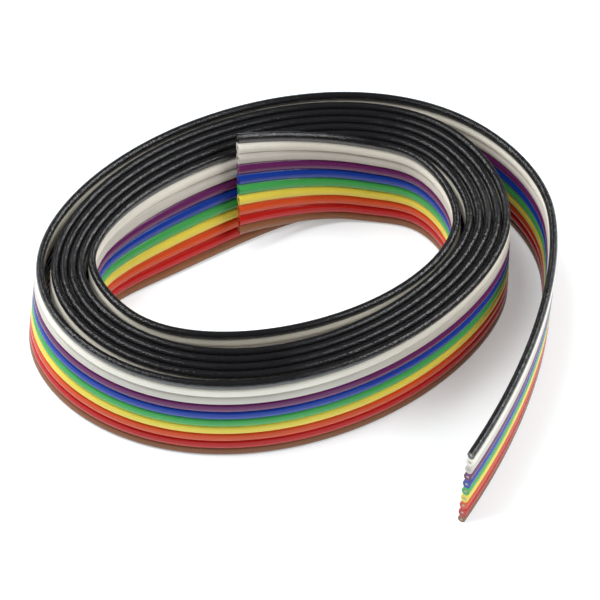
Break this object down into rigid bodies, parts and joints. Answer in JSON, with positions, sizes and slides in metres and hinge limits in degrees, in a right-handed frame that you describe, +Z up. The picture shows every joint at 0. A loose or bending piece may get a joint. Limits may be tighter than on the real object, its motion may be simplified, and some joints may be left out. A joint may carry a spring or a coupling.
{
  "type": "ribbon cable",
  "caption": "Rainbow ribbon cable standing on its brown edge, wound into an oval coil, with one cut end lifted inside and a loose tail outside.",
  "frame": {"origin": "middle of the bounding box on the floor that the coil stands on", "axes": "+Z up from the brown edge to the black edge; +X along the longest extent of the outline, with the loose tail at +X; +Y away from the end of the tail"},
  "size_m": [0.0504, 0.0434, 0.0165],
  "materials": {
    "brown_pvc": "satin extruded PVC",
    "red_pvc": "satin extruded PVC",
    "orange_pvc": "satin extruded PVC",
    "yellow_pvc": "satin extruded PVC",
    "green_pvc": "satin extruded PVC",
    "blue_pvc": "satin extruded PVC",
    "violet_pvc": "satin extruded PVC",
    "grey_pvc": "satin extruded PVC",
    "white_pvc": "satin extruded PVC",
    "black_pvc": "satin extruded PVC",
    "tinned_copper": "bright tinned strands"
  },
  "bodies": {
    "root": {"brown_insulation": "brown_pvc", "red_insulation": "red_pvc", "orange_insulation": "orange_pvc", "yellow_insulation": "yellow_pvc", "green_insulation": "green_pvc", "blue_insulation": "blue_pvc", "violet_insulation": "violet_pvc", "grey_insulation": "grey_pvc", "white_insulation": "white_pvc", "black_insulation": "black_pvc", "brown_conductor": "tinned_copper", "red_conductor": "tinned_copper", "orange_conductor": "tinned_copper", "yellow_conductor": "tinned_copper", "green_conductor": "tinned_copper", "blue_conductor": "tinned_copper", "violet_conductor": "tinned_copper", "grey_conductor": "tinned_copper", "white_conductor": "tinned_copper", "black_conductor": "tinned_copper"}
  },
  "joints": []
}
